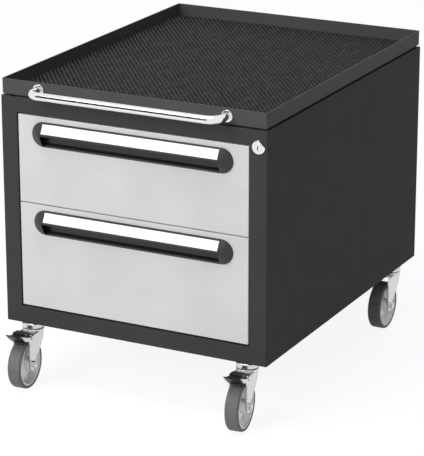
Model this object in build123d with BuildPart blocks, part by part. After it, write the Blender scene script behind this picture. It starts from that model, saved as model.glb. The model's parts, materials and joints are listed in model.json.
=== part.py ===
from build123d import *

import os
from math import cos, radians, sin, sqrt

os.makedirs("parts", exist_ok=True)

# Directions: +X is the right-hand side, -Y the drawer fronts, +Z up, and z = 0 the floor

# Cabinet body
body_width = 578.0
body_depth = 736.0
body_height = 466.0
sheet = 1.5
floor_plate = 2.0
floor_plate_lift = 1.0
post_width = 35.5
post_return = 18.0
rear_return = 15.0
back_panel_recess = 1.2
top_flange = 20.0
floor_flange = 20.0
bottom_rail_height = 35.0
rail_end_gap = 0.2
corner_radius = 2.5
top_panel_height = 4.0
top_panel_inset = 8.0

# Drawers
upper_front_height = 178.0
lower_front_height = 214.0
front_gap = 2.0
bottom_reveal = 4.0
top_reveal = 3.5
side_reveal = 3.0
front_pan_depth = 18.0
front_pan_lip = 20.0
front_edge_radius = 1.6
upper_box_height = 130.0
lower_box_height = 166.0
box_lift = 12.0
box_lip = 8.0
box_corner_radius = 3.0
drawer_travel = 600.0

# Telescopic slides, three nested members with balls between them
slide_length = 650.0
slide_setback = 40.0
slide_thickness = 19.0
slide_height = 53.0
slide_wall = 1.8
slide_mid_height = 38.0
slide_inner_height = 23.0
slide_mid_web_offset = 9.0
slide_lip_gap = 3.0
slide_mid_flange_reach = 16.2
slide_inner_flange_reach = 7.5
ball_clearance = 0.3
ball_pitch = 52.0
cage_strip = 1.0
cage_margin = 10.0
outer_cage_offset = 5.0
outer_cage_width = 11.5
inner_cage_offset = 0.8
inner_cage_width = 7.7
upright_width = 40.0
upright_setback = 0.5
front_upright_setback = 45.0
rear_upright_margin = 14.0

# Pan-head screws
screw_radius = 2.5
screw_length = 10.0
screw_head_radius = 4.5
screw_head_height = 2.5
screw_hole_clearance = 0.1

# Drawer handles
handle_side_margin = 32.0
handle_height = 50.0
handle_below_top = 35.0
handle_flange = 1.5
handle_reach = 16.0
handle_pocket_depth = 10.0
handle_wall = 2.4
handle_rim = 2.0
hood_shoulder_reach = 4.5
hood_shoulder_drop = 2.0
hood_nose = 2.0
hood_cap_bulge = 1.2
handle_lip = 0.8
handle_lip_wall = 1.0
handle_cutout_gap = 0.3
strip_height = 20.0
strip_thickness = 0.8
strip_end_gap = 2.0

# Lock and locking bar
lock_below_top = 32.0
lock_flange_radius = 13.5
lock_flange_thickness = 4.0
lock_flat_distance = 10.2
lock_body_radius = 9.5
lock_body_length = 22.0
lock_core_radius = 7.5
lock_core_proud = 2.0
lock_fit = 0.05
key_slot_width = 2.2
key_slot_height = 9.0
key_slot_depth = 10.0
lock_nut_flats = 24.0
lock_nut_thickness = 5.0
cam_radius = 11.0
cam_thickness = 3.0
cam_gap = 2.5
cam_square = 8.0
cam_pin_radius = 2.0
cam_throw = 8.5
cam_pin_clearance = 0.4
lock_bar_width = 26.0
lock_bar_thickness = 3.0
lock_bar_gap = 3.0
lock_bar_tail = 100.0
lock_bar_head = 12.0
lock_hook_height = 10.0
hook_overlap = 11.0
catch_gap = 2.0
catch_thickness = 2.0
catch_height = 12.0
catch_reach = 16.0
catch_below_box_top = 10.0
catch_drop = 1.8
guide_height = 14.0
guide_wall = 4.0
guide_clearance = 0.3
guide_below_hook = 45.0

# Top tray, mat and push rail
tray_gap = top_panel_height
tray_inset = 2.5
tray_sheet = 2.0
tray_rim_height = 30.0
tray_corner_radius = 2.0
mat_thickness = 3.5
mat_edge_gap = 1.0
mat_corner_radius = 12.0
tray_screw_radius = 2.5
tray_screw_inset = 60.0
tray_screw_flats = 8.0
tray_screw_head = 4.0
tray_screw_end_gap = 0.2
rail_side_inset = 82.5
rail_radius = 8.0
rail_standoff = 42.0
rail_bend = 24.0
rail_flange_radius = 12.0
rail_flange_thickness = 3.0
rail_flange_fit = 0.05
rail_thread_depth = 14.0

# Casters
caster_height = 128.0
wheel_radius = 50.0
tyre_width = 28.0
tyre_thickness = 6.0
tyre_shoulder = 4.0
caster_trail = 41.0
front_caster_side_inset = 49.0
rear_caster_side_inset = 24.0
front_caster_inset = 19.0
rear_caster_inset = 77.0
head_radius = 22.5
head_height = 13.5
head_boss_radius = 16.0
head_boss_height = 2.0
head_race_gap = 0.8
kingpin_radius = 8.0
kingpin_fit = 0.05
kingpin_head_radius = 11.0
kingpin_head_height = 3.0
kingpin_end_gap = 0.3
fork_race_radius = 22.0
fork_race_height = 2.7
fork_plate = 4.0
fork_wall = 2.5
fork_leg_gap = 2.5
fork_rear_reach = 7.0
fork_rear_drop = 12.0
fork_shoulder_back = 31.0
fork_shoulder_drop = 26.0
fork_eye_radius = 12.0
fork_eye_angle = 35.0
fork_ear_reach = 34.0
fork_ear_rise = 12.0
fork_ear_lobe_reach = 18.0
fork_ear_lobe_drop = 3.0
fork_ear_root = 10.0
fork_ear_round = 3.0
axle_radius = 4.0
axle_fit = 0.05
axle_nut_flats = 13.0
axle_nut_height = 5.0
axle_end = 2.0
hub_radius = 13.0
hub_side_gap = 1.0
rim_seat_width = 26.0
rim_wall = 3.4
rim_slope_start = 4.8
rim_slope_end = 10.2
rim_web = 6.0
rim_round = 2.0
pedal_pin_radius = 2.5
pedal_pin_ahead = 4.0
pedal_width = 26.0
pedal_reach = 37.0
pedal_height = 19.0
pedal_pin_lift = 4.0
pedal_heel = 6.0
pedal_block_reach = 19.0
pedal_heel_height = 9.0
pedal_block_slope = 2.0
pedal_tab_width = 32.0
pedal_tab_lift = 13.0
pedal_tip_lift = 16.0
pedal_wheel_gap = 3.0
pedal_bay_depth = 14.0
brake_shoe_ahead = 17.0
brake_shoe_length = 8.0
brake_shoe_width = 20.0
brake_shoe_height = 3.0
caster_bolt_radius = 6.0
caster_bolt_depth = 14.0
caster_bolt_flats = 18.0
caster_bolt_head = 7.5
bolt_hole_clearance = 0.5

# Small turns that the casters stand at
swivel_turn = {"front_left": 4.0, "front_right": 6.0, "rear_left": 2.0, "rear_right": 1.0}

# Heights
base = caster_height
top = base + body_height
lower_front_z = base + bottom_rail_height + bottom_reveal
upper_front_z = lower_front_z + lower_front_height + front_gap
top_rail_z = upper_front_z + upper_front_height + top_reveal
tray_z = top + tray_gap
tray_top = tray_z + tray_rim_height
mat_z = tray_z + tray_sheet
rail_z = tray_z + tray_rim_height / 2
head_top = base + floor_plate_lift
axle_z = wheel_radius

# Widths
half_width = body_width / 2
half_opening = half_width - post_width
inner_wall = half_width - sheet
half_front = half_opening - side_reveal
upright_face = half_opening + upright_setback
half_box = upright_face - slide_thickness
handle_width = 2 * (half_front - handle_side_margin)
tray_x = half_width - tray_inset
rail_span = 2 * (tray_x - rail_side_inset)

# Depths, with the origin midway between the foremost tyre and the back edge of the body


def tyre_front_reach(turn):
    """Distance from the pivot to the foremost point of a tyre turned by this angle."""
    slant = abs(sin(radians(turn)))
    ahead = cos(radians(turn))
    flat_reach = (tyre_width / 2 - tyre_shoulder) * slant
    return caster_trail * ahead + flat_reach + (wheel_radius - tyre_shoulder) * ahead + tyre_shoulder


front_turns = (swivel_turn["front_left"], swivel_turn["front_right"])
front_reach = max(tyre_front_reach(turn) for turn in front_turns) - front_caster_inset
front = (front_reach - body_depth) / 2
back = front + body_depth
panel_back = back - back_panel_recess
rear_inner = panel_back - 2 * sheet
box_front = front + front_pan_depth
slide_front = front + slide_setback
slide_back = slide_front + slide_length
rim_front = front + tray_inset
cam_front = front + lock_body_length + cam_gap
cam_back = cam_front + cam_thickness
bar_front = cam_back + lock_bar_gap
bar_back = bar_front + lock_bar_thickness
catch_front = bar_back + catch_gap


def block(x, y, z, mode=Mode.ADD):
    """A block between two limits along each axis, in the part being built."""
    with Locations(((x[0] + x[1]) / 2, (y[0] + y[1]) / 2, (z[0] + z[1]) / 2)):
        Box(x[1] - x[0], y[1] - y[0], z[1] - z[0], mode=mode)


def rod(centre, radius, length, along, mode=Mode.ADD):
    """A round bar about its centre along X, Y or Z, in the part being built."""
    turns = {"X": (0, 90, 0), "Y": (90, 0, 0), "Z": (0, 0, 0)}
    with Locations(centre):
        Cylinder(radius, length, rotation=turns[along], mode=mode)


def finish(part, name):
    """Label a finished piece and write it under its name."""
    part.label = name
    export_step(part, f"parts/{name}.step")


def hexagon_across(flats):
    """Corner radius of a hexagon of this width across its flats."""
    return flats / sqrt(3)


# Cabinet body
lock_x = (half_opening + half_width) / 2
lock_z = top - lock_below_top


def side_panel(mirrored):
    """Folded side wall with its front post, rear return and top flange."""
    outline = [
        (half_opening, front),
        (half_width, front),
        (half_width, back),
        (inner_wall, back),
        (inner_wall, panel_back - sheet),
        (inner_wall - rear_return, panel_back - sheet),
        (inner_wall - rear_return, rear_inner),
        (inner_wall, rear_inner),
        (inner_wall, front + sheet),
        (half_opening + sheet, front + sheet),
        (half_opening + sheet, front + post_return),
        (half_opening, front + post_return),
    ]
    floor_top = base + floor_plate_lift + floor_plate
    with BuildPart() as panel:
        with BuildSketch(Plane.XY.offset(base)):
            with BuildLine():
                Polyline(*outline, close=True)
            make_face()
        extrude(amount=body_height)
        front_edges = panel.edges().filter_by(Axis.Z).group_by(Axis.Y)[0]
        fillet(front_edges.sort_by(Axis.X)[-1], radius=corner_radius)
        block((inner_wall - top_flange, inner_wall), (front + sheet, rear_inner), (top - sheet, top))
        block(
            (half_opening, half_opening + sheet),
            (front + sheet, front + post_return),
            (base, floor_top),
            mode=Mode.SUBTRACT,
        )
        if mirrored:
            mirror(about=Plane.YZ, mode=Mode.REPLACE)
        else:
            hole_radius = lock_body_radius + lock_fit
            rod((lock_x, front, lock_z), hole_radius, 4 * sheet, "Y", mode=Mode.SUBTRACT)
    return panel.part


front_caster_x = half_width - front_caster_side_inset
rear_caster_x = half_width - rear_caster_side_inset
caster_places = {
    "front_left": (-front_caster_x, front + front_caster_inset),
    "front_right": (front_caster_x, front + front_caster_inset),
    "rear_left": (-rear_caster_x, back - rear_caster_inset),
    "rear_right": (rear_caster_x, back - rear_caster_inset),
}

with BuildPart() as back_panel:
    block((-inner_wall, inner_wall), (panel_back - sheet, panel_back), (base, top))

floor_z = base + floor_plate_lift
with BuildPart() as bottom_panel:
    block((-inner_wall, inner_wall), (front + sheet, rear_inner), (floor_z, floor_z + floor_plate))
    for side in (-1, 1):
        edge = sorted((side * inner_wall, side * (inner_wall - sheet)))
        block(edge, (front + post_return, rear_inner), (floor_z, floor_z + floor_flange))
    block((-inner_wall, inner_wall), (rear_inner - sheet, rear_inner), (floor_z, floor_z + floor_flange))
    for place in caster_places.values():
        hole_radius = caster_bolt_radius + bolt_hole_clearance
        rod((*place, floor_z), hole_radius, 4 * floor_plate, "Z", mode=Mode.SUBTRACT)

tray_screw_places = [
    (x, y)
    for x in (-half_width + tray_screw_inset, half_width - tray_screw_inset)
    for y in (front + tray_screw_inset, back - tray_screw_inset)
]
lid_x = half_width - top_panel_inset
lid_y = (front + top_panel_inset, back - top_panel_inset)
with BuildPart() as top_panel:
    block((-lid_x, lid_x), lid_y, (top, top + top_panel_height))
    block(
        (-lid_x + sheet, lid_x - sheet),
        (lid_y[0] + sheet, lid_y[1] - sheet),
        (top, top + top_panel_height - sheet),
        mode=Mode.SUBTRACT,
    )
    for place in tray_screw_places:
        hole_radius = tray_screw_radius + bolt_hole_clearance
        rod((*place, top), hole_radius, 4 * top_panel_height, "Z", mode=Mode.SUBTRACT)

rail_half = half_opening - rail_end_gap
with BuildPart() as front_top_rail:
    block((-rail_half, rail_half), (front, front + post_return), (top_rail_z, top))
    block(
        (-rail_half, rail_half),
        (front + sheet, front + post_return),
        (top_rail_z + sheet, top - sheet),
        mode=Mode.SUBTRACT,
    )

with BuildPart() as front_bottom_rail:
    block((-rail_half, rail_half), (front, front + sheet), (base, base + bottom_rail_height))
    block(
        (-rail_half, rail_half),
        (front, front + post_return),
        (base + bottom_rail_height - sheet, base + bottom_rail_height),
    )

# Slide positions of the two drawers, as the height of each slide's middle
upper_slide_z = upper_front_z + box_lift + upper_box_height / 2
lower_slide_z = lower_front_z + box_lift + lower_box_height / 2
front_upright_y = front + front_upright_setback
rear_upright_y = slide_back - rear_upright_margin - upright_width
upright_rows = (front_upright_y + upright_width / 2, rear_upright_y + upright_width / 2)
screw_hole = screw_radius + screw_hole_clearance

with BuildPart() as slide_uprights:
    for start in (front_upright_y, rear_upright_y):
        depth = (start, start + upright_width)
        tall = (floor_z + floor_flange, top - sheet)
        block((upright_face, inner_wall), depth, tall)
        block(
            (upright_face + sheet, inner_wall),
            (depth[0] + sheet, depth[1] - sheet),
            tall,
            mode=Mode.SUBTRACT,
        )
    for row in upright_rows:
        for z in (upper_slide_z, lower_slide_z):
            rod((upright_face, row, z), screw_hole, 4 * sheet, "X", mode=Mode.SUBTRACT)
    mirror(about=Plane.YZ)


# Telescopic slides
def slide_pair(height, member):
    """Left and right copies of one slide member, at the height of the slide's middle."""
    near = half_box
    run = (slide_front, slide_back)
    with BuildPart() as pair:
        if member == "outer":
            tall = slide_height / 2
            wide = (near + slide_lip_gap, near + slide_thickness)
            block(wide, run, (height - tall, height + tall))
            hollow = tall - slide_wall
            inside = (wide[0], wide[1] - slide_wall)
            block(inside, run, (height - hollow, height + hollow), mode=Mode.SUBTRACT)
            for row in upright_rows:
                rod((wide[1], row, height), screw_hole, 4 * slide_wall, "X", mode=Mode.SUBTRACT)
        elif member == "mid":
            tall = slide_mid_height / 2
            wide = (near + slide_lip_gap, near + slide_mid_flange_reach)
            web = near + slide_mid_web_offset
            block(wide, run, (height - tall, height + tall))
            hollow = tall - slide_wall
            block((wide[0], web), run, (height - hollow, height + hollow), mode=Mode.SUBTRACT)
            block((web + slide_wall, wide[1]), run, (height - hollow, height + hollow), mode=Mode.SUBTRACT)
        else:
            tall = slide_inner_height / 2
            wide = (near, near + slide_inner_flange_reach)
            block(wide, run, (height - tall, height + tall))
            hollow = tall - slide_wall
            inside = (wide[0] + slide_wall, wide[1])
            block(inside, run, (height - hollow, height + hollow), mode=Mode.SUBTRACT)
        mirror(about=Plane.YZ)
    return pair.part


def ball_cages(height, inside, outside, offset, width):
    """Cage strips and balls above and below a member, in the gap between two raceways."""
    middle = (inside + outside) / 2
    ball_radius = (outside - inside) / 2 - ball_clearance
    start = slide_front + drawer_travel / 4 + cage_margin
    length = slide_length - drawer_travel / 2 - 2 * cage_margin
    count = int(length // ball_pitch)
    x = half_box + offset
    with BuildPart() as cages:
        for side in (-1, 1):
            z = height + side * middle
            block((x, x + width), (start, start + length), (z - cage_strip / 2, z + cage_strip / 2))
        row = (x + width / 2, start + length / 2)
        with BuildSketch(Plane.XY.offset(height - outside)):
            with Locations(row):
                with GridLocations(ball_pitch, ball_pitch, 1, count):
                    Circle(ball_radius + ball_clearance)
        extrude(amount=2 * outside, mode=Mode.SUBTRACT)
        for side in (-1, 1):
            with Locations((*row, height + side * middle)):
                with GridLocations(ball_pitch, ball_pitch, 1, count):
                    Sphere(ball_radius)
        mirror(about=Plane.YZ)
    return cages.part


# Pan-head screws, made once along +Z with the underside of the head at the origin
with BuildPart() as pan_head_screw:
    Cylinder(screw_head_radius, screw_head_height, align=(Align.CENTER, Align.CENTER, Align.MAX))
    fillet(pan_head_screw.edges().sort_by(Axis.Z)[0], radius=screw_head_height / 2)
    Cylinder(screw_radius, screw_length, align=(Align.CENTER, Align.CENTER, Align.MIN))

slide_web_x = half_box + slide_thickness - slide_wall
with BuildPart() as pan_head_screws:
    for row in upright_rows:
        for z in (upper_slide_z, lower_slide_z):
            with Locations(
                Location((slide_web_x, row, z), (0, 90, 0)),
                Location((-slide_web_x, row, z), (0, -90, 0)),
            ):
                add(pan_head_screw.part)
    for x in (-rail_span / 2, rail_span / 2):
        with Locations(Location((x, rim_front + tray_sheet, rail_z), (90, 0, 0))):
            add(pan_head_screw.part)

# Handle sections, as (depth, distance from the handle's centre line)
half_handle = handle_height / 2
cutout_half = half_handle - handle_rim
pocket_half = cutout_half - handle_cutout_gap
pocket_inner = pocket_half - handle_wall
hood_top = (front - hood_shoulder_reach, half_handle - hood_shoulder_drop)
hood_ridge = (front - handle_reach, hood_nose)
hood_slope = Vector(hood_ridge[0] - hood_top[0], hood_ridge[1] - hood_top[1]).normalized()
hood_normal = Vector(hood_slope.Y, -hood_slope.X)
hood_inner_top = Vector(*hood_top) - hood_normal * handle_wall
hood_inner_ridge = (front - handle_reach + handle_wall, 0.0)
pocket_back = front + handle_pocket_depth

upper_section = [
    (front - handle_flange, half_handle),
    hood_top,
    hood_ridge,
    (hood_ridge[0], 0.0),
    hood_inner_ridge,
    (hood_inner_top.X, hood_inner_top.Y),
    (front, pocket_inner),
    (pocket_back - handle_wall, pocket_inner),
    (pocket_back - handle_wall, 0.0),
    (pocket_back, 0.0),
    (pocket_back, pocket_half),
    (front, pocket_half),
    (front, half_handle),
]
lower_section = [
    (front - handle_flange, -half_handle),
    (front, -half_handle),
    (front, -pocket_half),
    (pocket_back, -pocket_half),
    (pocket_back, 0.0),
    (pocket_back - handle_wall, 0.0),
    (pocket_back - handle_wall, -pocket_inner + handle_wall),
    (front, -pocket_half + handle_lip_wall),
    (front - handle_flange, -half_handle + handle_lip),
]
grip_half = handle_width / 2 - half_handle


def raised(points, height):
    """Section points moved up to a handle's centre line."""
    return [(depth, height + distance) for depth, distance in points]


def handle_pieces(height):
    """Grip profile, its label strip and its two domed end caps, about the given height."""
    with BuildPart() as grip:
        for section in (upper_section, lower_section):
            with BuildSketch(Plane.YZ):
                with BuildLine():
                    Polyline(*raised(section, height), close=True)
                make_face()
        extrude(amount=grip_half, both=True)

    strip_start = Vector(hood_top[0], height + hood_top[1]) + hood_slope
    strip_end = strip_start + hood_slope * strip_height
    strip_out = hood_normal * strip_thickness
    strip_corners = [strip_start, strip_end, strip_end + strip_out, strip_start + strip_out]
    with BuildPart() as strip:
        with BuildSketch(Plane.YZ):
            with BuildLine():
                Polyline(*[(corner.X, corner.Y) for corner in strip_corners], close=True)
            make_face()
        extrude(amount=grip_half - strip_end_gap, both=True)

    bulge = (Vector(*hood_top) + Vector(*hood_ridge)) / 2 + hood_normal * hood_cap_bulge
    rounded = (hood_top, (bulge.X, bulge.Y), hood_ridge)
    with BuildPart() as caps:
        with BuildSketch(Plane.YZ.offset(grip_half)):
            with BuildLine():
                Polyline(*raised(upper_section[:2], height))
                ThreePointArc(*raised(rounded, height))
                Polyline(*raised(upper_section[2:] + upper_section[:1], height))
            make_face()
        revolve(axis=Axis((grip_half, 0, height), (0, 1, 0)), revolution_arc=180)
        mirror(about=Plane.YZ)
    return grip.part, strip.part, caps.part


def drawer_front(bottom, height):
    """Folded front pan with its inner lips and the cut-out behind the handle."""
    middle = bottom + height - handle_below_top
    with BuildPart() as pan:
        block((-half_front, half_front), (front, box_front), (bottom, bottom + height))
        fillet(pan.edges().group_by(Axis.Y)[0], radius=front_edge_radius)
        block(
            (-half_front + sheet, half_front - sheet),
            (front + sheet, box_front - sheet),
            (bottom + sheet, bottom + height - sheet),
            mode=Mode.SUBTRACT,
        )
        block(
            (-half_front + front_pan_lip, half_front - front_pan_lip),
            (box_front - sheet, box_front),
            (bottom + front_pan_lip, bottom + height - front_pan_lip),
            mode=Mode.SUBTRACT,
        )
        with BuildSketch(Plane.XZ.offset(-front)):
            with Locations((0, middle)):
                SlotOverall(handle_width - 2 * handle_rim, 2 * cutout_half)
        extrude(amount=-sheet, mode=Mode.SUBTRACT)
    return pan.part


def drawer_box(bottom, height, catch_z):
    """Folded open box with inward lips and the catch that the locking bar stops."""
    deep = (box_front, slide_back)
    with BuildPart() as box:
        block((-half_box, half_box), deep, (bottom, bottom + height))
        upright_edges = box.edges().filter_by(Axis.Z)
        fillet(upright_edges, radius=box_corner_radius)
        block(
            (-half_box + sheet, half_box - sheet),
            (deep[0] + sheet, deep[1] - sheet),
            (bottom + sheet, bottom + height - sheet),
            mode=Mode.SUBTRACT,
        )
        block(
            (-half_box + box_lip, half_box - box_lip),
            (deep[0] + box_lip, deep[1] - box_lip),
            (bottom + height - sheet, bottom + height),
            mode=Mode.SUBTRACT,
        )
        block(
            (half_box - sheet, half_box + catch_reach),
            (catch_front, catch_front + catch_thickness),
            (catch_z, catch_z + catch_height),
        )
    return box.part


# Lock, its cam and the locking bar behind the right-hand post
core_front = front - lock_flange_thickness - lock_core_proud
pin_offset = cam_throw / sqrt(2)
upper_catch_z = upper_front_z + box_lift + upper_box_height - catch_below_box_top - catch_height
lower_catch_z = lower_front_z + box_lift + lower_box_height - catch_below_box_top - catch_height

with BuildPart() as lock_housing:
    flange_middle = (lock_x, front - lock_flange_thickness / 2, lock_z)
    rod(flange_middle, lock_flange_radius, lock_flange_thickness, "Y")
    flange_face = lock_housing.faces().sort_by(Axis.Y)[0]
    fillet(flange_face.edges(), radius=lock_flange_thickness / 2)
    with BuildSketch(Plane.XZ.offset(-front)):
        with Locations(Location((lock_x, lock_z, 0), (0, 0, 45))):
            with Locations((lock_flat_distance + lock_flange_radius / 2, 0)):
                Rectangle(lock_flange_radius, 3 * lock_flange_radius)
    extrude(amount=lock_flange_thickness, mode=Mode.SUBTRACT)
    rod((lock_x, front + lock_body_length / 2, lock_z), lock_body_radius, lock_body_length, "Y")
    bore_radius = lock_core_radius + lock_fit
    rod((lock_x, front, lock_z), bore_radius, 4 * lock_body_length, "Y", mode=Mode.SUBTRACT)

with BuildPart() as lock_nut:
    with BuildSketch(Plane.XZ.offset(-front - sheet)):
        with Locations((lock_x, lock_z)):
            RegularPolygon(hexagon_across(lock_nut_flats), 6)
            Circle(lock_body_radius + lock_fit, mode=Mode.SUBTRACT)
    extrude(amount=-lock_nut_thickness)

with BuildPart() as lock_core:
    round_length = cam_front - core_front
    rod((lock_x, core_front + round_length / 2, lock_z), lock_core_radius, round_length, "Y")
    block(
        (lock_x - cam_square / 2, lock_x + cam_square / 2),
        (cam_front, cam_back),
        (lock_z - cam_square / 2, lock_z + cam_square / 2),
    )
    chamfer(lock_core.edges().group_by(Axis.Y)[0], length=lock_core_proud / 3)
    block(
        (lock_x - key_slot_width / 2, lock_x + key_slot_width / 2),
        (core_front, core_front + key_slot_depth),
        (lock_z - key_slot_height / 2, lock_z + key_slot_height / 2),
        mode=Mode.SUBTRACT,
    )

# The pin of the cam starts low on the left and rises past the level of the core
pin_x = lock_x - pin_offset
pin_z = lock_z - pin_offset
with BuildPart() as lock_cam:
    rod((lock_x, (cam_front + cam_back) / 2, lock_z), cam_radius, cam_thickness, "Y")
    hole_half = cam_square / 2 + lock_fit
    block(
        (lock_x - hole_half, lock_x + hole_half),
        (cam_front, cam_back),
        (lock_z - hole_half, lock_z + hole_half),
        mode=Mode.SUBTRACT,
    )
    pin_length = bar_back - cam_front
    rod((pin_x, cam_front + pin_length / 2, pin_z), cam_pin_radius, pin_length, "Y")

hook_tip = half_box + catch_reach - hook_overlap
pin_room = cam_pin_radius + cam_pin_clearance
hook_tops = (upper_catch_z - catch_drop, lower_catch_z - catch_drop)
bar_side = lock_x - lock_bar_width / 2
with BuildPart() as lock_bar:
    low = hook_tops[1] - lock_hook_height - lock_bar_tail
    block((bar_side, bar_side + lock_bar_width), (bar_front, bar_back), (low, lock_z + lock_bar_head))
    block(
        (lock_x - cam_throw - pin_room, pin_x + pin_room),
        (bar_front, bar_back),
        (pin_z - pin_room, pin_z + pin_room),
        mode=Mode.SUBTRACT,
    )
    for hook_top in hook_tops:
        block((hook_tip, bar_side), (bar_front, bar_back), (hook_top - lock_hook_height, hook_top))

with BuildPart() as lock_bar_guides:
    for hook_top in hook_tops:
        middle = hook_top - lock_hook_height - guide_below_hook
        block(
            (upright_face, inner_wall),
            (bar_front - guide_clearance - guide_wall, front_upright_y),
            (middle - guide_height / 2, middle + guide_height / 2),
        )
        block(
            (bar_side - guide_clearance, bar_side + lock_bar_width + guide_clearance),
            (bar_front - guide_clearance, bar_back + guide_clearance),
            (middle - guide_height / 2, middle + guide_height / 2),
            mode=Mode.SUBTRACT,
        )

# Top tray, mat and push rail
with BuildPart() as top_tray:
    block((-tray_x, tray_x), (rim_front, back), (tray_z, tray_top))
    fillet(top_tray.edges().filter_by(Axis.Z), radius=tray_corner_radius)
    block(
        (-tray_x + tray_sheet, tray_x - tray_sheet),
        (rim_front + tray_sheet, back - tray_sheet),
        (mat_z, tray_top),
        mode=Mode.SUBTRACT,
    )
    for place in tray_screw_places:
        hole_radius = tray_screw_radius + screw_hole_clearance
        rod((*place, tray_z), hole_radius, 4 * tray_sheet, "Z", mode=Mode.SUBTRACT)
    for x in (-rail_span / 2, rail_span / 2):
        rod((x, rim_front, rail_z), screw_hole, 4 * tray_sheet, "Y", mode=Mode.SUBTRACT)

with BuildPart() as tray_screws:
    head_seat = top + top_panel_height - sheet
    with BuildSketch(Plane.XY.offset(head_seat)):
        with Locations(*tray_screw_places):
            RegularPolygon(hexagon_across(tray_screw_flats), 6)
    extrude(amount=-tray_screw_head)
    with BuildSketch(Plane.XY.offset(head_seat)):
        with Locations(*tray_screw_places):
            Circle(tray_screw_radius)
    extrude(amount=mat_z - tray_screw_end_gap - head_seat)

mat_inset = tray_sheet + mat_edge_gap
with BuildPart() as ribbed_mat:
    block(
        (-tray_x + mat_inset, tray_x - mat_inset),
        (rim_front + mat_inset, back - mat_inset),
        (mat_z, mat_z + mat_thickness),
    )
    fillet(ribbed_mat.edges().filter_by(Axis.Z), radius=mat_corner_radius)

with BuildPart() as push_rail:
    with BuildLine() as rail_path:
        FilletPolyline(
            (-rail_span / 2, rim_front, rail_z),
            (-rail_span / 2, rim_front - rail_standoff, rail_z),
            (rail_span / 2, rim_front - rail_standoff, rail_z),
            (rail_span / 2, rim_front, rail_z),
            radius=rail_bend,
        )
    with BuildSketch(Plane((-rail_span / 2, rim_front, rail_z), z_dir=(0, -1, 0))):
        Circle(rail_radius)
    sweep()
    for x in (-rail_span / 2, rail_span / 2):
        rod((x, rim_front, rail_z), screw_radius, 2 * rail_thread_depth, "Y", mode=Mode.SUBTRACT)

with BuildPart() as push_rail_flanges:
    with BuildSketch(Plane.XZ.offset(-rim_front)):
        with Locations((-rail_span / 2, rail_z), (rail_span / 2, rail_z)):
            Circle(rail_flange_radius)
            Circle(rail_radius + rail_flange_fit, mode=Mode.SUBTRACT)
    extrude(amount=rail_flange_thickness)
    outer_rims = push_rail_flanges.edges().group_by(Axis.Y)[0]
    fillet(outer_rims.group_by(SortBy.RADIUS)[-1], radius=rail_flange_thickness / 2)

# Casters, made once with the pivot on the Z axis and the wheel ahead of it
head_bottom = head_top - head_height
race_top = head_bottom - head_race_gap
plate_top = race_top - fork_race_height
plate_bottom = plate_top - fork_plate
leg_inner = tyre_width / 2 + fork_leg_gap
leg_outer = leg_inner + fork_wall
wheel_top = 2 * wheel_radius
pedal_pin_y = -caster_trail - pedal_pin_ahead
pedal_bottom = wheel_top + pedal_wheel_gap
pedal_pin_z = pedal_bottom + pedal_pin_lift
fork_front = -caster_trail - fork_eye_radius
plate_front = pedal_pin_y + pedal_bay_depth

with BuildPart() as caster_head:
    bevel = head_height / 4
    kingpin_low = plate_bottom - kingpin_end_gap - kingpin_head_height
    head_outline = [
        (0, head_top),
        (head_boss_radius, head_top),
        (head_boss_radius, head_top - head_boss_height),
        (head_radius - bevel / 2, head_top - head_boss_height),
        (head_radius, head_top - head_boss_height - bevel / 2),
        (head_radius, head_bottom + bevel / 2),
        (head_radius - bevel, head_bottom),
        (kingpin_radius, head_bottom),
        (kingpin_radius, kingpin_low + kingpin_head_height),
        (kingpin_head_radius, kingpin_low + kingpin_head_height),
        (kingpin_head_radius, kingpin_low),
        (0, kingpin_low),
    ]
    with BuildSketch(Plane.XZ):
        with BuildLine():
            Polyline(*head_outline, close=True)
        make_face()
    revolve(axis=Axis.Z)
    bolt_bore = caster_bolt_radius + screw_hole_clearance
    rod((0, 0, head_top), bolt_bore, 2 * caster_bolt_depth, "Z", mode=Mode.SUBTRACT)

with BuildPart() as caster_bolt:
    bolt_seat = floor_z + floor_plate
    with BuildSketch(Plane.XY.offset(bolt_seat)):
        RegularPolygon(hexagon_across(caster_bolt_flats), 6)
    extrude(amount=caster_bolt_head)
    with BuildSketch(Plane.XY.offset(bolt_seat)):
        Circle(caster_bolt_radius)
    extrude(amount=-floor_plate - caster_bolt_depth + bolt_hole_clearance)


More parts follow.
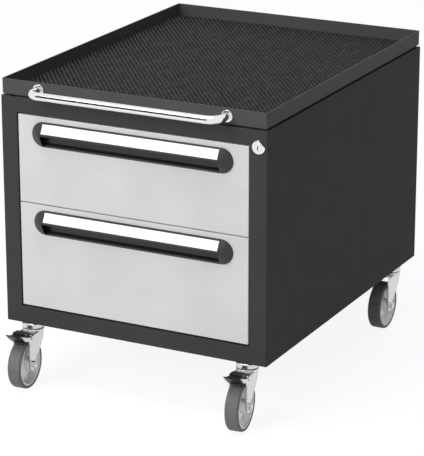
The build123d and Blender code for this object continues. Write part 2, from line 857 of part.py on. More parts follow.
def caster_fork(with_pedal):
    """Pressed fork with two legs, its race and the holes for the axle and the pedal."""
    eye = (-caster_trail, axle_z)
    rise = radians(fork_eye_angle)
    eye_end = (eye[0] + fork_eye_radius * cos(rise), eye[1] + fork_eye_radius * sin(rise))
    with BuildPart() as fork:
        with BuildSketch(Plane.YZ):
            with BuildLine():
                Polyline(
                    eye_end,
                    (-caster_trail + fork_shoulder_back, wheel_top - fork_shoulder_drop),
                    (fork_rear_reach, plate_bottom - fork_rear_drop),
                    (fork_rear_reach, plate_top),
                    (fork_front, plate_top),
                    (fork_front, axle_z),
                )
                ThreePointArc((fork_front, axle_z), (eye[0], axle_z - fork_eye_radius), eye_end)
            make_face()
        extrude(amount=leg_outer, both=True)
        fillet(fork.edges().filter_by(Axis.Y).group_by(Axis.Z)[-1], radius=fork_wall)
        below = (0, plate_bottom)
        block((-leg_inner, leg_inner), (2 * fork_front, fork_race_radius), below, mode=Mode.SUBTRACT)
        block((-leg_inner, leg_inner), (2 * fork_front, plate_front), (0, race_top), mode=Mode.SUBTRACT)
        with BuildSketch(Plane.XY.offset(plate_bottom)):
            Circle(fork_race_radius)
        extrude(amount=race_top - plate_bottom)
        chamfer(fork.edges().group_by(Axis.Z)[-1], length=fork_race_height / 3)
        rod((0, 0, plate_top), kingpin_radius + kingpin_fit, 4 * fork_plate, "Z", mode=Mode.SUBTRACT)
        rod((0, *eye), axle_radius + axle_fit, 4 * leg_outer, "X", mode=Mode.SUBTRACT)
        if with_pedal:
            ear = [
                (fork_front + fork_wall, plate_top - fork_wall),
                (fork_front - fork_ear_reach, plate_top + fork_ear_rise),
                (fork_front - fork_ear_lobe_reach, plate_top - fork_ear_lobe_drop),
                (fork_front + fork_wall, plate_top - fork_ear_root),
            ]
            for near in (-leg_outer, leg_inner):
                with BuildSketch(Plane.YZ.offset(near)) as ear_side:
                    with BuildLine():
                        Polyline(*ear, close=True)
                    make_face()
                    fillet(ear_side.vertices().sort_by(Axis.X)[1], radius=fork_ear_round)
                extrude(amount=fork_wall)
            pin_hole = pedal_pin_radius + axle_fit
            rod((0, pedal_pin_y, pedal_pin_z), pin_hole, 4 * leg_outer, "X", mode=Mode.SUBTRACT)
    return fork.part


with BuildPart() as axle:
    nut_end = leg_outer + axle_nut_height
    with BuildSketch(Plane.YZ.offset(-leg_outer)):
        with Locations((-caster_trail, axle_z)):
            RegularPolygon(hexagon_across(axle_nut_flats), 6)
    extrude(amount=-axle_nut_height)
    with BuildSketch(Plane.YZ.offset(-leg_outer)):
        with Locations((-caster_trail, axle_z)):
            Circle(axle_radius)
    extrude(amount=leg_outer + nut_end + axle_end)
    chamfer(axle.edges().sort_by(Axis.X)[-1], length=axle_radius / 5)
    with BuildSketch(Plane.YZ.offset(leg_outer)):
        with Locations((-caster_trail, axle_z)):
            RegularPolygon(hexagon_across(axle_nut_flats), 6)
            Circle(axle_radius + axle_fit, mode=Mode.SUBTRACT)
    extrude(amount=axle_nut_height)

wheel_axis = Axis((0, -caster_trail, axle_z), (1, 0, 0))
seat_radius = wheel_radius - tyre_thickness
with BuildPart() as rim:
    hub_half = leg_inner - hub_side_gap
    seat_half = rim_seat_width / 2
    web_half = rim_web / 2
    rim_side = [
        (hub_half, axle_radius + axle_fit),
        (hub_half, hub_radius - rim_round),
        (hub_half - rim_round, hub_radius),
        (2 * web_half, hub_radius + rim_round),
        (web_half, seat_radius - rim_slope_end),
        (seat_half - rim_wall, seat_radius - rim_slope_start),
        (seat_half, seat_radius - rim_wall),
        (seat_half, seat_radius),
    ]
    other_side = [(-x, r) for x, r in reversed(rim_side)]
    with BuildSketch(Plane.XZ.offset(caster_trail)):
        with BuildLine():
            Polyline(*[(x, axle_z + r) for x, r in rim_side + other_side], close=True)
        make_face()
    revolve(axis=wheel_axis)

with BuildPart() as tyre:
    with BuildSketch(Plane.XZ.offset(caster_trail)) as tyre_section:
        with Locations((0, axle_z + wheel_radius - tyre_thickness / 2)):
            Rectangle(tyre_width, tyre_thickness)
        fillet(tyre_section.vertices().group_by(Axis.Y)[-1], radius=tyre_shoulder)
    revolve(axis=wheel_axis)

with BuildPart() as brake_pedal:
    heel = pedal_pin_y + pedal_heel
    block_front = pedal_pin_y - pedal_block_reach
    pedal_top = pedal_bottom + pedal_height
    with BuildSketch(Plane.YZ):
        with BuildLine():
            Polyline(
                (heel, pedal_bottom),
                (heel, pedal_bottom + pedal_heel_height),
                (pedal_pin_y, pedal_top - pedal_block_slope),
                (block_front, pedal_top),
                (block_front, pedal_bottom),
                close=True,
            )
        make_face()
    extrude(amount=pedal_width / 2, both=True)
    with BuildSketch(Plane.YZ):
        with BuildLine():
            Polyline(
                (block_front + pedal_pin_ahead, pedal_bottom),
                (block_front + pedal_pin_ahead, pedal_bottom + pedal_tab_lift),
                (pedal_pin_y - pedal_reach, pedal_bottom + pedal_tip_lift),
                (block_front, pedal_bottom),
                close=True,
            )
        make_face()
    extrude(amount=pedal_tab_width / 2, both=True)
    shoe_middle = pedal_pin_y - brake_shoe_ahead
    block(
        (-brake_shoe_width / 2, brake_shoe_width / 2),
        (shoe_middle - brake_shoe_length / 2, shoe_middle + brake_shoe_length / 2),
        (pedal_bottom - brake_shoe_height, pedal_bottom),
    )
    rod((0, pedal_pin_y, pedal_pin_z), pedal_pin_radius, 2 * leg_outer, "X")


def placed(piece, corners):
    """Copies of a caster piece at the given corners of the cabinet."""
    with BuildPart() as copies:
        for corner in corners:
            with Locations(Location((*caster_places[corner], 0), (0, 0, swivel_turn[corner]))):
                add(piece)
    return copies.part


# Write the pieces
finish(side_panel(mirrored=True), "left_side_panel")
finish(side_panel(mirrored=False), "right_side_panel")
finish(back_panel.part, "back_panel")
finish(bottom_panel.part, "bottom_panel")
finish(top_panel.part, "top_panel")
finish(front_top_rail.part, "front_top_rail")
finish(front_bottom_rail.part, "front_bottom_rail")
finish(slide_uprights.part, "slide_uprights")
finish(pan_head_screws.part, "pan_head_screws")
finish(lock_housing.part, "lock_housing")
finish(lock_nut.part, "lock_nut")
finish(lock_core.part, "lock_core")
finish(lock_cam.part, "lock_cam")
finish(lock_bar.part, "lock_bar")
finish(lock_bar_guides.part, "lock_bar_guides")
finish(top_tray.part, "top_tray")
finish(tray_screws.part, "tray_screws")
finish(ribbed_mat.part, "ribbed_mat")
finish(push_rail.part, "push_rail")
finish(push_rail_flanges.part, "push_rail_flanges")

drawers = {
    "upper": (upper_front_z, upper_front_height, upper_box_height, upper_slide_z, upper_catch_z),
    "lower": (lower_front_z, lower_front_height, lower_box_height, lower_slide_z, lower_catch_z),
}
for drawer, (front_z, front_height, box_height, slide_z, catch_z) in drawers.items():
    grip, strip, caps = handle_pieces(front_z + front_height - handle_below_top)
    finish(grip, f"{drawer}_handle_grip")
    finish(strip, f"{drawer}_label_strip")
    finish(caps, f"{drawer}_handle_end_caps")
    finish(drawer_front(front_z, front_height), f"{drawer}_drawer_front")
    finish(drawer_box(front_z + box_lift, box_height, catch_z), f"{drawer}_drawer_box")
    finish(slide_pair(slide_z, "outer"), f"{drawer}_outer_slides")
    finish(slide_pair(slide_z, "mid"), f"{drawer}_mid_slides")
    finish(slide_pair(slide_z, "inner"), f"{drawer}_inner_slides")
    outer_gap = (slide_mid_height / 2, slide_height / 2 - slide_wall)
    outer_cages = ball_cages(slide_z, *outer_gap, outer_cage_offset, outer_cage_width)
    finish(outer_cages, f"{drawer}_outer_ball_cages")
    inner_gap = (slide_inner_height / 2, slide_mid_height / 2 - slide_wall)
    inner_cages = ball_cages(slide_z, *inner_gap, inner_cage_offset, inner_cage_width)
    finish(inner_cages, f"{drawer}_inner_ball_cages")

finish(placed(caster_head.part, caster_places), "caster_heads")
finish(placed(caster_bolt.part, caster_places), "caster_bolts")
for corner in caster_places:
    braked = corner.startswith("front")
    finish(placed(caster_fork(braked), [corner]), f"{corner}_caster_fork")
    finish(placed(axle.part, [corner]), f"{corner}_axle")
    finish(placed(rim.part, [corner]), f"{corner}_rim")
    finish(placed(tyre.part, [corner]), f"{corner}_tyre")
    if braked:
        finish(placed(brake_pedal.part, [corner]), f"{corner}_brake_pedal")
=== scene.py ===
import json
from math import ceil, cos, pi, radians, sin

import bmesh
import bpy
from mathutils import Matrix, Vector


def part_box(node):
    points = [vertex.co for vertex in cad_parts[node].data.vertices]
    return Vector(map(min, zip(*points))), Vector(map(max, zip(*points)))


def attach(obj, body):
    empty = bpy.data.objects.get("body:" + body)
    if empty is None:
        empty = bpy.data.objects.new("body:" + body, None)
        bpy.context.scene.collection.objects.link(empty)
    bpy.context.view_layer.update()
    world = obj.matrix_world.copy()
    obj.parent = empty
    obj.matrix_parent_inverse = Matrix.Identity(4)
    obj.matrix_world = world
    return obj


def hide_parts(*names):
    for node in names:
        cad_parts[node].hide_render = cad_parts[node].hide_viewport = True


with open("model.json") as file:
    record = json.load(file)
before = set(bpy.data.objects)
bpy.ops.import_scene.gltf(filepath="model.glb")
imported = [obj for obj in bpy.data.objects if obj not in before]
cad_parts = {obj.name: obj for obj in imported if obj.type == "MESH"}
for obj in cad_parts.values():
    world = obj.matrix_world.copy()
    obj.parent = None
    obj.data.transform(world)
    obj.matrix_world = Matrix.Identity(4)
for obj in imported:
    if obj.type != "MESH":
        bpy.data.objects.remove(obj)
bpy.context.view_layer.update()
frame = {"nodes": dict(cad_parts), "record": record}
nodes = frame["nodes"]

MM = 0.001


def add_to_scene(made):
    """Put an object in the scene's own collection."""
    bpy.context.scene.collection.objects.link(made)


# The picture's frame, in pixels
image_width = 424
image_height = 456

# Camera, seen from the front right and above
camera_azimuth = radians(27.2)
camera_elevation = radians(18.28)
camera_roll = radians(-0.05)
camera_distance = 4.795
focal_length_px = 2321.7
aim_point = Vector((0.0, 0.036, 0.314))
aim_right = -0.0137
aim_up = -0.0551
sensor_width = 36.0


def add_camera():
    """The camera at the photograph's viewing angle, with no shift."""
    back = Vector((
        sin(camera_azimuth) * cos(camera_elevation),
        -cos(camera_azimuth) * cos(camera_elevation),
        sin(camera_elevation),
    ))
    right = Vector((cos(camera_azimuth), sin(camera_azimuth), 0.0))
    up = back.cross(right)
    rolled_right = cos(camera_roll) * right + sin(camera_roll) * up
    rolled_up = -sin(camera_roll) * right + cos(camera_roll) * up
    data = bpy.data.cameras.new("camera")
    data.sensor_width = sensor_width
    data.lens = focal_length_px * sensor_width / max(image_width, image_height)
    camera = bpy.data.objects.new("camera", data)
    camera.rotation_mode = "QUATERNION"
    axes = Matrix((rolled_right, rolled_up, back)).transposed()
    camera.rotation_quaternion = axes.to_quaternion()
    camera.location = aim_point + back * camera_distance + rolled_right * aim_right + rolled_up * aim_up
    add_to_scene(camera)
    bpy.context.scene.camera = camera


add_camera()


# Shader tools. A mix node's colour slots are taken by number, because their names repeat.
mix_share_slot = 0
mix_first_slot = 6
mix_second_slot = 7
mix_result_slot = 2
bevel_samples = 6


def node(tree, kind, **properties):
    """A shader node of one kind, with its properties set by name."""
    made = tree.nodes.new(kind)
    for name, value in properties.items():
        setattr(made, name, value)
    return made


def socket(made, name, value):
    """Set the value of one of a node's inputs, given by its name or number."""
    made.inputs[name].default_value = value


def link(tree, source, target):
    """Join an output to an input."""
    tree.links.new(source, target)


def cleared_tree(owner):
    """The node tree of a material or world, emptied."""
    owner.use_nodes = True
    owner.node_tree.nodes.clear()
    return owner.node_tree


def empty_material(name):
    """A node material with nothing but its output."""
    material = bpy.data.materials.new(name)
    tree = cleared_tree(material)
    output = node(tree, "ShaderNodeOutputMaterial")
    return material, tree, output


def fresh_material(name):
    """A material with a Principled shader, and its object coordinates in metres."""
    material, tree, output = empty_material(name)
    shader = node(tree, "ShaderNodeBsdfPrincipled")
    link(tree, shader.outputs["BSDF"], output.inputs["Surface"])
    place = node(tree, "ShaderNodeTexCoord").outputs["Object"]
    return material, tree, shader, place


def noise(tree, place, scale, detail, stretch=(1.0, 1.0, 1.0)):
    """Noise over the surface, at a number of features per metre."""
    mapping = node(tree, "ShaderNodeMapping")
    socket(mapping, "Scale", stretch)
    link(tree, place, mapping.inputs["Vector"])
    pattern = node(tree, "ShaderNodeTexNoise")
    socket(pattern, "Scale", scale)
    socket(pattern, "Detail", detail)
    link(tree, mapping.outputs["Vector"], pattern.inputs["Vector"])
    return pattern.outputs["Fac"]


def spread(tree, value, low=0.0, high=1.0, start=0.3, end=0.7):
    """Map a value from start..end to low..high; noise lies mostly from 0.3 to 0.7."""
    ranged = node(tree, "ShaderNodeMapRange")
    for name, number in (("From Min", start), ("From Max", end), ("To Min", low), ("To Max", high)):
        socket(ranged, name, number)
    link(tree, value, ranged.inputs["Value"])
    return ranged.outputs["Result"]


def product(tree, first, second):
    """An output times a number or another output."""
    multiply = node(tree, "ShaderNodeMath", operation="MULTIPLY")
    link(tree, first, multiply.inputs[0])
    if isinstance(second, float):
        socket(multiply, 1, second)
    else:
        link(tree, second, multiply.inputs[1])
    return multiply.outputs["Value"]


def blend_colours(tree, share, first, second):
    """Mix two colours by a value from 0 to 1."""
    mix = node(tree, "ShaderNodeMix", data_type="RGBA")
    link(tree, share, mix.inputs[mix_share_slot])
    for slot, colour in ((mix_first_slot, first), (mix_second_slot, second)):
        if isinstance(colour, tuple):
            socket(mix, slot, (*colour, 1.0))
        else:
            link(tree, colour, mix.inputs[slot])
    return mix.outputs[mix_result_slot]


def bump(tree, height, strength, depth, base=None):
    """Bump of a given depth in metres, on top of another normal where there is one."""
    made = node(tree, "ShaderNodeBump")
    socket(made, "Strength", strength)
    socket(made, "Distance", depth)
    link(tree, height, made.inputs["Height"])
    if base is not None:
        link(tree, base, made.inputs["Normal"])
    return made.outputs["Normal"]


def rounded_edges(tree, radius):
    """The normal of softly rounded edges, and a mask that is 1 right at them."""
    soft = node(tree, "ShaderNodeBevel", samples=bevel_samples)
    socket(soft, "Radius", radius)
    geometry = node(tree, "ShaderNodeNewGeometry")
    dot = node(tree, "ShaderNodeVectorMath", operation="DOT_PRODUCT")
    link(tree, soft.outputs["Normal"], dot.inputs[0])
    link(tree, geometry.outputs["True Normal"], dot.inputs[1])
    mask = spread(tree, dot.outputs["Value"], low=1.0, high=0.0, start=0.80, end=0.995)
    return soft.outputs["Normal"], mask


def vary_roughness(tree, shader, pattern, gloss, below, above):
    """Let the roughness wander with a pattern, from a little below its usual value to a little above."""
    link(tree, spread(tree, pattern, low=gloss - below, high=gloss + above), shader.inputs["Roughness"])


def shade(colour, factor):
    """A colour made darker or lighter by a factor."""
    return tuple(min(1.0, channel * factor) for channel in colour)


def opaque_grey(level):
    """A grey as the four values that a colour input takes."""
    return (level, level, level, 1.0)


# Finishes
def powder_coat(name, colour, gloss, edge_highlight_gain, sheen, peel):
    """Powder-coated sheet: orange-peel skin, faint clouding, and lighter edges, partly wear where the coat
    is thin and partly painted highlight.
    """
    material, tree, shader, place = fresh_material(name)
    cloud = spread(tree, noise(tree, place, scale=9.0, detail=4.0))
    dark_cloud = shade(colour, 0.95)
    light_cloud = shade(colour, 1.05)
    coat = blend_colours(tree, cloud, dark_cloud, light_cloud)
    grain = spread(tree, noise(tree, place, scale=2200.0, detail=1.0))
    faint_grain = product(tree, grain, 0.10)
    light_speck = shade(colour, 1.5)
    speckled = blend_colours(tree, faint_grain, coat, light_speck)
    # Painted highlight: the edges are made lighter, partly as wear where the coat is thin and partly
    # standing in for the light that they catch
    edge_normal, edge = rounded_edges(tree, radius=0.9 * MM)
    rub_and_highlight = spread(tree, noise(tree, place, scale=60.0, detail=3.0), low=0.35)
    worn_and_highlit = blend_colours(tree, product(tree, edge, rub_and_highlight), speckled, shade(colour, edge_highlight_gain))
    link(tree, worn_and_highlit, shader.inputs["Base Color"])
    vary_roughness(tree, shader, noise(tree, place, scale=25.0, detail=3.0), gloss, below=0.04, above=0.05)
    orange_peel = noise(tree, place, scale=750.0, detail=2.0)
    skin = bump(tree, orange_peel, strength=0.35, depth=peel, base=edge_normal)
    link(tree, skin, shader.inputs["Normal"])
    socket(shader, "Specular IOR Level", sheen)
    return material


def plated_steel(name, colour, gloss, spangle, stretch=(1.0, 1.0, 1.0)):
    """Plated or rolled steel with a faint crystal pattern and fine rolling marks."""
    material, tree, shader, place = fresh_material(name)
    crystals = node(tree, "ShaderNodeTexVoronoi")
    crystals_per_metre = 260.0
    socket(crystals, "Scale", crystals_per_metre)
    link(tree, place, crystals.inputs["Vector"])
    tone = node(tree, "ShaderNodeSeparateColor")
    link(tree, crystals.outputs["Color"], tone.inputs["Color"])
    dark_crystal = shade(colour, 0.72)
    patches = blend_colours(tree, product(tree, tone.outputs["Red"], spangle), colour, dark_crystal)
    haze = spread(tree, noise(tree, place, scale=40.0, detail=4.0), high=0.35)
    hazed_colour = shade(colour, 0.85)
    link(tree, blend_colours(tree, haze, patches, hazed_colour), shader.inputs["Base Color"])
    marks = noise(tree, place, scale=500.0, detail=3.0, stretch=stretch)
    vary_roughness(tree, shader, marks, gloss, below=0.06, above=0.10)
    edge_normal, _ = rounded_edges(tree, radius=0.5 * MM)
    rolled = bump(tree, marks, strength=0.25, depth=0.05 * MM, base=edge_normal)
    link(tree, rolled, shader.inputs["Normal"])
    socket(shader, "Metallic", 1.0)
    return material


def chrome(name):
    """Polished chrome plate with faint wiping marks."""
    material, tree, shader, place = fresh_material(name)
    clean = (0.84, 0.845, 0.85)
    filmed = (0.78, 0.785, 0.79)
    film = spread(tree, noise(tree, place, scale=30.0, detail=4.0))
    link(tree, blend_colours(tree, film, clean, filmed), shader.inputs["Base Color"])
    wiping = noise(tree, place, scale=300.0, detail=4.0, stretch=(0.2, 1.0, 1.0))
    link(tree, spread(tree, wiping, low=0.05, high=0.11), shader.inputs["Roughness"])
    edge_normal, _ = rounded_edges(tree, radius=0.5 * MM)
    link(tree, edge_normal, shader.inputs["Normal"])
    socket(shader, "Metallic", 1.0)
    return material


def moulded_plastic(name, colour, gloss, grain_depth, coat=0.0):
    """Moulded plastic with a fine eroded grain and slightly rubbed edges."""
    material, tree, shader, place = fresh_material(name)
    tone = spread(tree, noise(tree, place, scale=35.0, detail=3.0))
    dark_tone = shade(colour, 0.9)
    light_tone = shade(colour, 1.1)
    body = blend_colours(tree, tone, dark_tone, light_tone)
    edge_normal, edge = rounded_edges(tree, radius=0.7 * MM)
    faint_edge = product(tree, edge, 0.35)
    rubbed_colour = shade(colour, 1.8)
    link(tree, blend_colours(tree, faint_edge, body, rubbed_colour), shader.inputs["Base Color"])
    vary_roughness(tree, shader, noise(tree, place, scale=90.0, detail=3.0), gloss, below=0.05, above=0.07)
    erosion = noise(tree, place, scale=1500.0, detail=1.0)
    grain = bump(tree, erosion, strength=0.5, depth=grain_depth, base=edge_normal)
    link(tree, grain, shader.inputs["Normal"])
    socket(shader, "Coat Weight", coat)
    return material


def rubber(name, colour, gloss, marks, sheen, shaded_hollow_z=None):
    """Rubber with a dull bloom, fine pores and scuffs, and with painted shade in the hollows between two
    heights.
    """
    material, tree, shader, place = fresh_material(name)
    bloom = spread(tree, noise(tree, place, scale=45.0, detail=5.0))
    dark_bloom = shade(colour, 0.88)
    light_bloom = shade(colour, 1.12)
    body = blend_colours(tree, bloom, dark_bloom, light_bloom)
    if shaded_hollow_z is not None:
        dark_below, clear_above = shaded_hollow_z
        height = node(tree, "ShaderNodeSeparateXYZ")
        link(tree, place, height.inputs["Vector"])
        hollow = spread(tree, height.outputs["Z"], low=1.0, high=0.0, start=dark_below, end=clear_above)
        # Painted shade: the hollows between the mat's studs are darkened towards their floor
        hollow_shade_colour = shade(colour, 0.12)
        body = blend_colours(tree, hollow, body, hollow_shade_colour)
    scuffs = spread(tree, noise(tree, place, scale=130.0, detail=4.0, stretch=marks), start=0.5, end=0.8)
    faint_scuffs = product(tree, scuffs, 0.35)
    scuffed_colour = shade(colour, 1.5)
    link(tree, blend_colours(tree, faint_scuffs, body, scuffed_colour), shader.inputs["Base Color"])
    vary_roughness(tree, shader, noise(tree, place, scale=70.0, detail=3.0), gloss, below=0.08, above=0.08)
    pores = noise(tree, place, scale=1800.0, detail=2.0)
    link(tree, bump(tree, pores, strength=0.4, depth=0.1 * MM), shader.inputs["Normal"])
    socket(shader, "Specular IOR Level", sheen)
    return material


def satin_strip(name):
    """Satin metal strip, brushed along its length."""
    material, tree, shader, place = fresh_material(name)
    dull = (0.86, 0.865, 0.87)
    bright = (0.93, 0.93, 0.93)
    brushing = noise(tree, place, scale=900.0, detail=3.0, stretch=(0.02, 1.0, 1.0))
    link(tree, blend_colours(tree, spread(tree, brushing), dull, bright), shader.inputs["Base Color"])
    link(tree, spread(tree, brushing, low=0.32, high=0.46), shader.inputs["Roughness"])
    edge_normal, _ = rounded_edges(tree, radius=0.4 * MM)
    lines = bump(tree, brushing, strength=0.2, depth=0.03 * MM, base=edge_normal)
    link(tree, lines, shader.inputs["Normal"])
    socket(shader, "Metallic", 0.75)
    return material


# Rubber mat with its pattern of small diamond studs
mat_low, mat_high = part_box("ribbed_mat")
mat_corner = 12 * MM
mat_corner_steps = 8
stud_pitch_x = 10.5 * MM
stud_pitch_y = 13.6 * MM
stud_share = 0.80
stud_top_share = 0.34
stud_height = 1.3 * MM
stud_root = 0.3 * MM
least_stud_share = 0.15

# How far down a stud, as shares of its height, the painted shade in the hollows is full and where it begins
hollow_dark_share = 0.8
hollow_clear_share = 0.15
mat_shaded_hollow_z = (
    mat_high[2] - hollow_dark_share * stud_height,
    mat_high[2] - hollow_clear_share * stud_height,
)

# Paints
cabinet_grey = (0.056, 0.056, 0.057)
# The tray's grey is the cabinet paint made lighter: painted light for the brighter top of the cabinet
tray_lit_grey = (0.082, 0.083, 0.084)
inner_grey = (0.30, 0.305, 0.31)
drawer_grey = (0.68, 0.68, 0.675)
coat_peel = 0.12 * MM
drawer_peel = 0.10 * MM

# Plastics and rubbers
handle_black = (0.018, 0.018, 0.019)
pedal_black = (0.012, 0.012, 0.012)
rim_grey = (0.92, 0.92, 0.915)
tyre_grey = (0.15, 0.15, 0.152)
mat_black = (0.085, 0.085, 0.086)
handle_grain = 0.08 * MM
pedal_grain = 0.10 * MM
rim_grain = 0.04 * MM
tyre_marks = (0.15, 1.0, 1.0)
mat_marks = (1.0, 0.3, 1.0)

# Steels
zinc_grey = (0.74, 0.745, 0.75)
slide_grey = (0.55, 0.56, 0.57)
slide_marks = (1.0, 0.05, 1.0)

materials = {
    "cabinet_paint": powder_coat(
        "cabinet_paint", cabinet_grey, gloss=0.50, edge_highlight_gain=2.4, sheen=0.02, peel=coat_peel,
    ),
    "tray_paint": powder_coat(
        "tray_paint", tray_lit_grey, gloss=0.46, edge_highlight_gain=2.4, sheen=0.04, peel=coat_peel,
    ),
    "inner_paint": powder_coat(
        "inner_paint", inner_grey, gloss=0.5, edge_highlight_gain=1.2, sheen=0.3, peel=coat_peel,
    ),
    "drawer_paint": powder_coat(
        "drawer_paint", drawer_grey, gloss=0.42, edge_highlight_gain=1.2, sheen=0.25, peel=drawer_peel,
    ),
    "handle_plastic": moulded_plastic("handle_plastic", handle_black, gloss=0.36, grain_depth=handle_grain),
    "label_silver": satin_strip("label_silver"),
    "polished_chrome": chrome("polished_chrome"),
    "zinc_plate": plated_steel("zinc_plate", zinc_grey, gloss=0.28, spangle=0.5),
    "slide_steel": plated_steel("slide_steel", slide_grey, gloss=0.36, spangle=0.3, stretch=slide_marks),
    "pedal_plastic": moulded_plastic("pedal_plastic", pedal_black, gloss=0.42, grain_depth=pedal_grain),
    "rim_plastic": moulded_plastic("rim_plastic", rim_grey, gloss=0.34, grain_depth=rim_grain, coat=1.0),
    "tyre_rubber": rubber("tyre_rubber", tyre_grey, gloss=0.62, marks=tyre_marks, sheen=0.3),
    "mat_rubber": rubber(
        "mat_rubber", mat_black, gloss=0.6, marks=mat_marks, sheen=0.03, shaded_hollow_z=mat_shaded_hollow_z,
    ),
}

slot_of_node = {part["node"]: part["material_slot"] for part in frame["record"]["subparts"]}
for name, cad_piece in nodes.items():
    cad_piece.data.materials.clear()
    cad_piece.data.materials.append(materials[slot_of_node[name]])


def new_piece(name, mesh, slot, body):
    """A piece of the object that rides on a body and takes a slot's finish."""
    piece = bpy.data.objects.new(name, mesh)
    add_to_scene(piece)
    mesh.materials.append(materials[slot])
    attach(piece, body)
    return piece


def finished_mesh(name, build):
    """The mesh of a build that is done."""
    mesh = bpy.data.meshes.new(name)
    build.to_mesh(mesh)
    build.free()
    return mesh


def rounded_rectangle(low, high, radius, steps):
    """Corner points of a rounded rectangle, anticlockwise."""
    quarter_turn = pi / 2
    centres = (
        (high[0] - radius, high[1] - radius),
        (low[0] + radius, high[1] - radius),
        (low[0] + radius, low[1] + radius),
        (high[0] - radius, low[1] + radius),
    )
    outline = []
    for corner, (x, y) in enumerate(centres):
        for step in range(steps + 1):
            angle = quarter_turn * (corner + step / steps)
            outline.append((x + radius * cos(angle), y + radius * sin(angle)))
    return outline


def clipped(polygon, outline):
    """The part of a convex polygon inside a convex anticlockwise outline."""
    for (ax, ay), (bx, by) in zip(outline, outline[1:] + outline[:1]):
        kept = []
        for (px, py), (qx, qy) in zip(polygon, polygon[1:] + polygon[:1]):
            p_side = (bx - ax) * (py - ay) - (by - ay) * (px - ax)
            q_side = (bx - ax) * (qy - ay) - (by - ay) * (qx - ax)
            if p_side >= 0:
                kept.append((px, py))
            if p_side * q_side < 0:
                share = p_side / (p_side - q_side)
                kept.append((px + share * (qx - px), py + share * (qy - py)))
        polygon = kept
        if len(polygon) < 3:
            return []
    return polygon


def polygon_area(polygon):
    """Area of a polygon whose points go round anticlockwise."""
    following = polygon[1:] + polygon[:1]
    return sum(px * qy - qx * py for (px, py), (qx, qy) in zip(polygon, following)) / 2


def add_prism(build, low_ring, low_z, high_ring, high_z):
    """A closed prism between two rings of as many points."""
    low_verts = [build.verts.new((x, y, low_z)) for x, y in low_ring]
    high_verts = [build.verts.new((x, y, high_z)) for x, y in high_ring]
    count = len(low_verts)
    build.faces.new(list(reversed(low_verts)))
    build.faces.new(high_verts)
    for index in range(count):
        following = (index + 1) % count
        build.faces.new((low_verts[index], low_verts[following], high_verts[following], high_verts[index]))


def make_mat():
    """The mat's sheet with one small cut-off pyramid per stud, clipped to the mat's outline."""
    outline = rounded_rectangle(mat_low, mat_high, mat_corner, mat_corner_steps)
    sheet_top = mat_high[2] - stud_height
    build = bmesh.new()
    add_prism(build, outline, mat_low[2], outline, sheet_top)
    centre_x = (mat_low[0] + mat_high[0]) / 2
    centre_y = (mat_low[1] + mat_high[1]) / 2
    half_x = stud_share * stud_pitch_x / 2
    half_y = stud_share * stud_pitch_y / 2
    pitches_across = (mat_high[0] - mat_low[0]) / stud_pitch_x
    pitches_along = (mat_high[1] - mat_low[1]) / stud_pitch_y
    reach = ceil((pitches_across + pitches_along) / 2) + 1
    smallest = least_stud_share * 2 * half_x * half_y
    for row in range(-reach, reach + 1):
        for column in range(-reach, reach + 1):
            x = centre_x + (row + column) * stud_pitch_x / 2
            y = centre_y + (row - column) * stud_pitch_y / 2
            beyond_x = x < mat_low[0] - half_x or x > mat_high[0] + half_x
            beyond_y = y < mat_low[1] - half_y or y > mat_high[1] + half_y
            if beyond_x or beyond_y:
                continue
            diamond = [(x + half_x, y), (x, y + half_y), (x - half_x, y), (x, y - half_y)]
            edge_distance = min(x - mat_low[0], mat_high[0] - x, y - mat_low[1], mat_high[1] - y)
            if edge_distance < mat_corner + half_y:
                diamond = clipped(diamond, outline)
                if len(diamond) < 3 or polygon_area(diamond) < smallest:
                    continue
            mid_x = sum(px for px, _ in diamond) / len(diamond)
            mid_y = sum(py for _, py in diamond) / len(diamond)
            top = [
                (mid_x + stud_top_share * (px - mid_x), mid_y + stud_top_share * (py - mid_y))
                for px, py in diamond
            ]
            add_prism(build, diamond, sheet_top - stud_root, top, mat_high[2])
    mat = new_piece("mat_with_studs", finished_mesh("mat_with_studs", build), "mat_rubber", "cabinet")
    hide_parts("ribbed_mat")


make_mat()


# Rivets that hold the back panel
rivet_radius = 3.4 * MM
rivet_height = 1.1 * MM
rivet_inset = 9 * MM
rivet_columns = 5
rivet_rows = 4
rivet_steps = 24
rivet_rings = 5


def spaced(low, high, count):
    """Places at even steps between two edges, the outer ones a rivet's inset inside them."""
    step = (high - low - 2 * rivet_inset) / (count - 1)
    return [low + rivet_inset + index * step for index in range(count)]


def add_rivet(build, x, base_y, z):
    """A domed head that stands out from the back, as rings that narrow towards its top."""
    rings = []
    for ring in range(rivet_rings):
        angle = pi / 2 * ring / rivet_rings
        radius = rivet_radius * cos(angle)
        y = base_y + rivet_height * sin(angle)
        turns = [2 * pi * step / rivet_steps for step in range(rivet_steps)]
        places = [(x + radius * cos(turn), y, z + radius * sin(turn)) for turn in turns]
        rings.append([build.verts.new(place) for place in places])
    build.faces.new(rings[0])
    for lower, upper in zip(rings, rings[1:]):
        for step in range(rivet_steps):
            following = (step + 1) % rivet_steps
            build.faces.new((lower[following], lower[step], upper[step], upper[following]))
    build.faces.new(list(reversed(rings[-1])))


def make_rivets():
    """Rivet heads along the four edges of the back panel."""
    low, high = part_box("back_panel")
    columns = spaced(low[0], high[0], rivet_columns)
    rows = spaced(low[2], high[2], rivet_rows)
    build = bmesh.new()
    for x in columns:
        for z in rows:
            if x in (columns[0], columns[-1]) or z in (rows[0], rows[-1]):
                add_rivet(build, x, high[1], z)
    bmesh.ops.recalc_face_normals(build, faces=build.faces)
    mesh = finished_mesh("back_panel_rivets", build)
    for face in mesh.polygons:
        face.use_smooth = len(face.vertices) == 4
    new_piece("back_panel_rivets", mesh, "zinc_plate", "cabinet")


make_rivets()


# Floor
floor_half = 40.0
floor_bounce = 0.8
floor_glow = 0.90
floor_shadow_share = 0.16

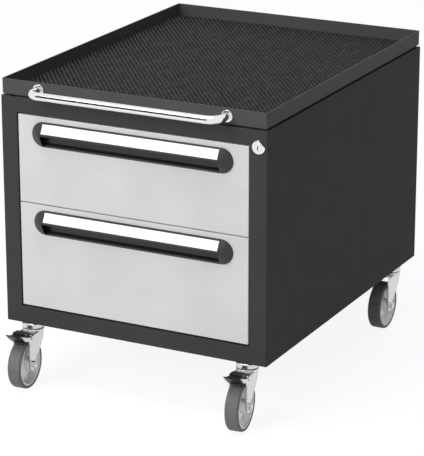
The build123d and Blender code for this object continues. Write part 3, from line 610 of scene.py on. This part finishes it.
# Dark card: the feet of its two upright edges, and the heights that it stands between
card_left = (-2.6, -3.2)
card_right = (0.0, -4.2)
card_low = 0.05
card_high = 3.2
card_grey = 0.01

# Studio light, brighter towards one side, and two soft boxes
studio_lit_side = Vector((-0.45, -0.8, 0.4)).normalized()
studio_low = 0.20
studio_high = 0.64
studio_dim_at = -0.4
studio_full_at = 0.7
key_light_place = (-1.6, -4.2, 2.6)
top_light_place = (-0.4, -0.8, 3.6)


def add_sheet(name, corners, material):
    """A flat sheet with four corners that isn't part of the object."""
    mesh = bpy.data.meshes.new(name)
    mesh.from_pydata(corners, [], [(0, 1, 2, 3)])
    mesh.materials.append(material)
    sheet = bpy.data.objects.new(name, mesh)
    add_to_scene(sheet)
    return sheet


def seen_rays(tree):
    """1 for rays from the camera and for those that metal or glass sends on, 0 for all others."""
    path = node(tree, "ShaderNodeLightPath")
    reflected = node(tree, "ShaderNodeMath", operation="ADD")
    link(tree, path.outputs["Is Glossy Ray"], reflected.inputs[0])
    link(tree, path.outputs["Is Transmission Ray"], reflected.inputs[1])
    seen = node(tree, "ShaderNodeMath", operation="ADD", use_clamp=True)
    link(tree, path.outputs["Is Camera Ray"], seen.inputs[0])
    link(tree, reflected.outputs["Value"], seen.inputs[1])
    return seen.outputs["Value"]


def show_to_seen_rays(tree, unseen, shown):
    """One shader for seen rays, and another for the light that reaches the object."""
    mix = node(tree, "ShaderNodeMixShader")
    link(tree, seen_rays(tree), mix.inputs[0])
    link(tree, unseen, mix.inputs[1])
    link(tree, shown, mix.inputs[2])
    return mix.outputs["Shader"]


def diffuse(tree, level):
    """A matt grey."""
    matt = node(tree, "ShaderNodeBsdfDiffuse")
    socket(matt, "Color", opaque_grey(level))
    return matt.outputs["BSDF"]


def add_floor():
    """A plain pale floor that shows the object's soft shadow."""
    material, tree, output = empty_material("floor")
    glow = node(tree, "ShaderNodeEmission")
    socket(glow, "Strength", floor_glow)
    shown = node(tree, "ShaderNodeAddShader")
    link(tree, glow.outputs["Emission"], shown.inputs[0])
    link(tree, diffuse(tree, floor_shadow_share), shown.inputs[1])
    surface = show_to_seen_rays(tree, diffuse(tree, floor_bounce), shown.outputs["Shader"])
    link(tree, surface, output.inputs["Surface"])
    corners = [(x * floor_half, y * floor_half, 0) for x, y in ((-1, -1), (1, -1), (1, 1), (-1, 1))]
    floor = add_sheet("floor", corners, material)


def add_dark_card():
    """A dark card low on the left, seen only in what shines, that draws the line along the push rail."""
    material, tree, output = empty_material("dark_card")
    link(tree, diffuse(tree, card_grey), output.inputs["Surface"])
    feet = [(*card_left, card_low), (*card_right, card_low)]
    tops = [(*card_right, card_high), (*card_left, card_high)]
    card = add_sheet("dark_card", feet + tops, material)
    card.visible_camera = False
    card.visible_diffuse = False
    card.visible_shadow = False


def add_world():
    """White to seen rays; to everything else a soft studio, brighter towards its lit side."""
    world = bpy.data.worlds.new("studio")
    bpy.context.scene.world = world
    tree = cleared_tree(world)
    output = node(tree, "ShaderNodeOutputWorld")
    direction = node(tree, "ShaderNodeTexCoord").outputs["Generated"]
    facing = node(tree, "ShaderNodeVectorMath", operation="DOT_PRODUCT")
    socket(facing, 1, studio_lit_side)
    link(tree, direction, facing.inputs[0])
    level = spread(tree, facing.outputs["Value"], studio_low, studio_high, studio_dim_at, studio_full_at)
    studio = node(tree, "ShaderNodeBackground")
    link(tree, level, studio.inputs["Strength"])
    white = node(tree, "ShaderNodeBackground")
    socket(white, "Color", opaque_grey(1.0))
    socket(white, "Strength", 1.0)
    surface = show_to_seen_rays(tree, studio.outputs["Background"], white.outputs["Background"])
    link(tree, surface, output.inputs["Surface"])


def add_soft_box(name, place, size, power):
    """A square soft box aimed at the middle of the object."""
    data = bpy.data.lights.new(name, "AREA")
    data.shape = "SQUARE"
    data.size = size
    data.energy = power
    lamp = bpy.data.objects.new(name, data)
    lamp.location = place
    lamp.rotation_mode = "QUATERNION"
    lamp.rotation_quaternion = (Vector(place) - aim_point).to_track_quat("Z", "Y")
    add_to_scene(lamp)


add_floor()
add_dark_card()
add_world()
add_soft_box("key_light", key_light_place, size=2.4, power=100.0)
add_soft_box("top_light", top_light_place, size=2.0, power=40.0)

bpy.context.scene.view_settings.view_transform = "Standard"
